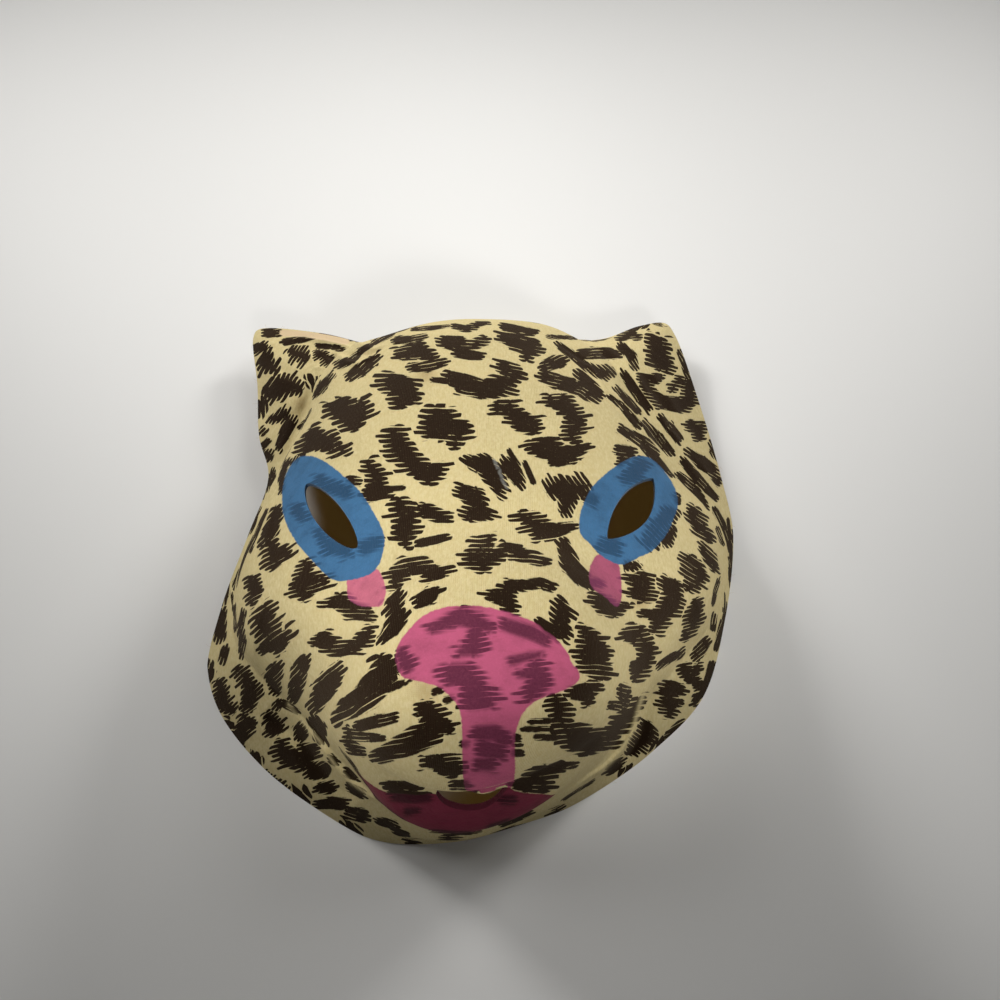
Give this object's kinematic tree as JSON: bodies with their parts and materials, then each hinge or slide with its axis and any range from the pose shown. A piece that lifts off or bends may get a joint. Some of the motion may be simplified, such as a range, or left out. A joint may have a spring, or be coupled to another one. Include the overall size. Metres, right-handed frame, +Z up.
{
  "type": "pressed cloth animal mask",
  "caption": "Child's face mask pressed from one sheet of printed cloth: rounded cat head with two ears, a blunt muzzle, a flared skirt round the edge, and eye and mouth holes.",
  "frame": {"origin": "middle of the outline at the table, under the face-up mask", "axes": "+X to the right ear as seen from above, +Y to the top of the head, +Z up through the nose; Y is the longest way and Z the shortest"},
  "size_m": [0.1948, 0.2, 0.0898],
  "materials": {
    "printed_cloth": "brushed knit with a printed spot pattern"
  },
  "bodies": {
    "root": {"mask_shell": "printed_cloth"}
  },
  "joints": []
}
